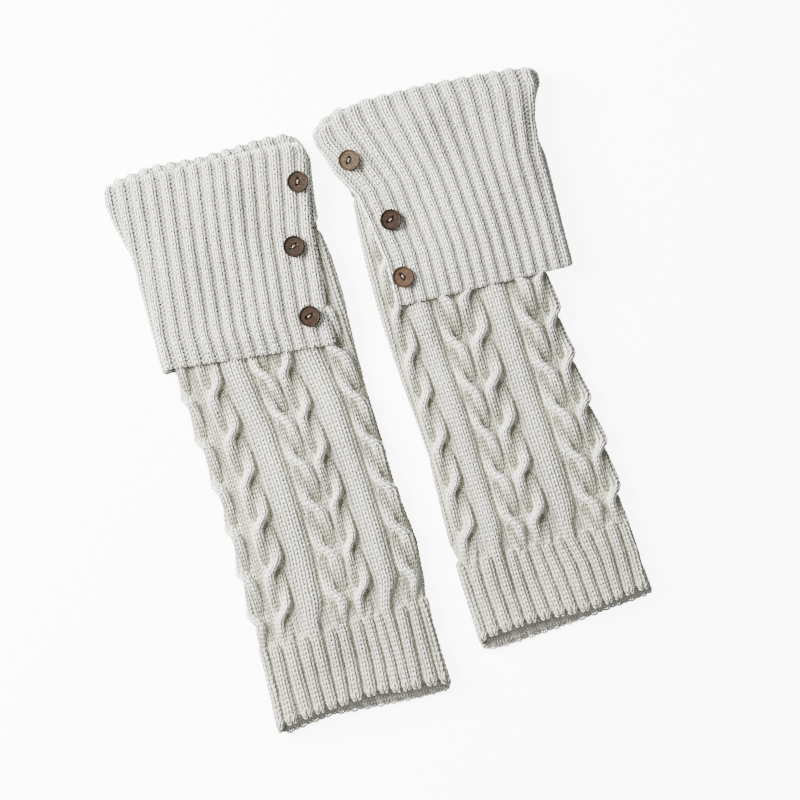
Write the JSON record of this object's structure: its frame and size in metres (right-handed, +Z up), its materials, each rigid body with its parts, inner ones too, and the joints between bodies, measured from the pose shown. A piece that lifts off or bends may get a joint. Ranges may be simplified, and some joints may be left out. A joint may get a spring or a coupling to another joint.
{
  "type": "pair of leg warmers",
  "caption": "Cable-knit leg warmers laid flat, each a ribbed-hem tube with a fold-over ribbed cuff, split at one side and closed by two-hole buttons.",
  "frame": {"origin": "middle of the pair's bounding box at its underside, where it rests", "axes": "+Y along the leg warmers from hem to folded cuff, +Z up through the cloth, +X across the pair from the left one to the right one"},
  "size_m": [0.3175, 0.4127, 0.0185],
  "materials": {
    "cable_knit": "matte bulky knit, soft fuzz",
    "rib_knit": "matte ribbed knit, soft fuzz",
    "button_wood": "satin dark wood"
  },
  "bodies": {
    "root": {"leg_left": "cable_knit", "leg_right": "cable_knit", "cuff_left": "rib_knit", "cuff_right": "rib_knit", "button_left_1": "button_wood", "button_left_2": "button_wood", "button_left_3": "button_wood", "button_right_1": "button_wood", "button_right_2": "button_wood", "button_right_3": "button_wood"}
  },
  "joints": []
}
